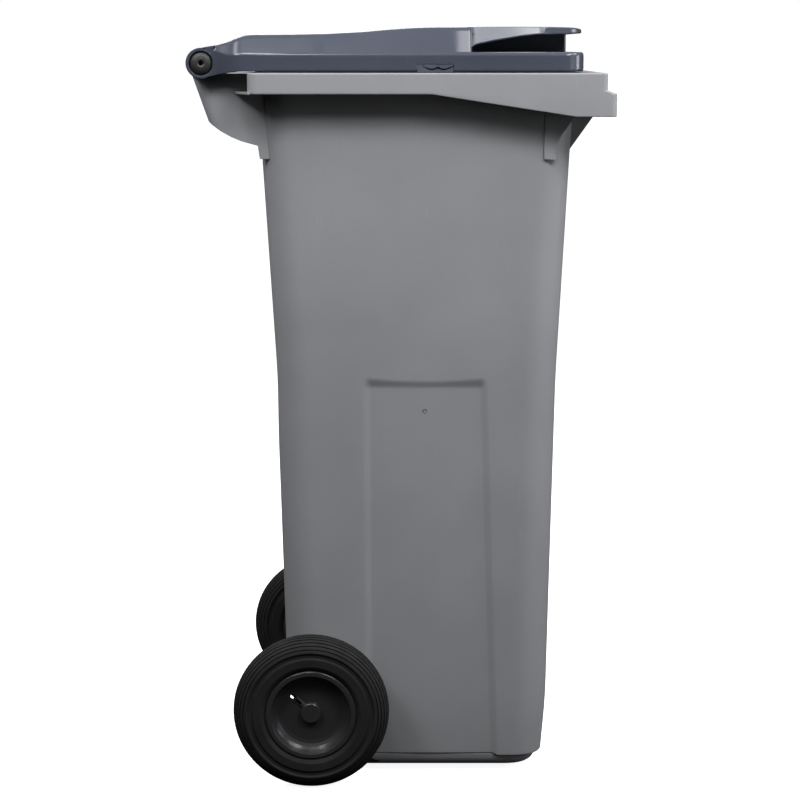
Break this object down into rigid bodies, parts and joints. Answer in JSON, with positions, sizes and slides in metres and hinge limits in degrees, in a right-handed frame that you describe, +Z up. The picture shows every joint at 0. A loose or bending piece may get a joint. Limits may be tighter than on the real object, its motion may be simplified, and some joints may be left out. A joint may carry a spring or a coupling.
{
  "type": "wheelie bin",
  "caption": "Upright tapered refuse bin with a hinged lid, a rear handle bar, a lifting lip at the front and rubber-tyred wheels on a steel axle.",
  "frame": {"origin": "on the floor, below the centre of the bounding box", "axes": "+Z up, +X across the bin, -Y the front with the lifting lip and grip, +Y the rear with the hinge, handle and wheels"},
  "size_m": [0.48, 0.528, 0.966],
  "materials": {
    "body_plastic": "moulded grey polyethylene, satin",
    "lid_plastic": "moulded dark slate polyethylene, semi-gloss",
    "pin_plastic": "black nylon, satin",
    "buffer_rubber": "soft, same slate as the lid",
    "tyre_rubber": "matt black rubber",
    "disc_plastic": "black moulded plastic, satin",
    "steel": "zinc plated",
    "dark_steel": "blackened"
  },
  "bodies": {
    "bin": {"tub": "body_plastic", "rim_collar": "body_plastic", "lift_ribs": "body_plastic", "rear_handle": "body_plastic", "axle_bearings": "body_plastic", "axle": "steel", "hinge_pin_left": "pin_plastic", "hinge_pin_right": "pin_plastic"},
    "lid": {"lid": "lid_plastic", "lid_buffer_left": "buffer_rubber", "lid_buffer_right": "buffer_rubber"},
    "wheel_left": {"tyre_left": "tyre_rubber", "wheel_disc_left": "disc_plastic", "lock_plug_left": "pin_plastic", "lock_spring_left": "dark_steel"},
    "lock_pin_left": {"lock_pin_left": "dark_steel"},
    "wheel_right": {"tyre_right": "tyre_rubber", "wheel_disc_right": "disc_plastic", "lock_plug_right": "pin_plastic", "lock_spring_right": "dark_steel"},
    "lock_pin_right": {"lock_pin_right": "dark_steel"}
  },
  "joints": [
    {"name": "lid_hinge", "type": "hinge", "parent": "bin", "child": "lid", "pos_m": [0, 0.245, 0.9215], "axis": [-1, 0, 0], "range_deg": [0, 260]},
    {"name": "wheel_left_spin", "type": "hinge", "parent": "bin", "child": "wheel_left", "pos_m": [-0.215, 0.1145, 0.1], "axis": [1, 0, 0], "continuous": true},
    {"name": "lock_pin_left_pull", "type": "slide", "parent": "wheel_left", "child": "lock_pin_left", "axis": [0, 0.7547, 0.6561], "range_m": [0, 0.0033], "stiffness_N_per_m": 400, "springref_m": -0.004, "deforming": ["lock_spring_left"]},
    {"name": "wheel_right_spin", "type": "hinge", "parent": "bin", "child": "wheel_right", "pos_m": [0.215, 0.1145, 0.1], "axis": [1, 0, 0], "continuous": true},
    {"name": "lock_pin_right_pull", "type": "slide", "parent": "wheel_right", "child": "lock_pin_right", "axis": [0, 0.7547, 0.6561], "range_m": [0, 0.0033], "stiffness_N_per_m": 400, "springref_m": -0.004, "deforming": ["lock_spring_right"]}
  ]
}
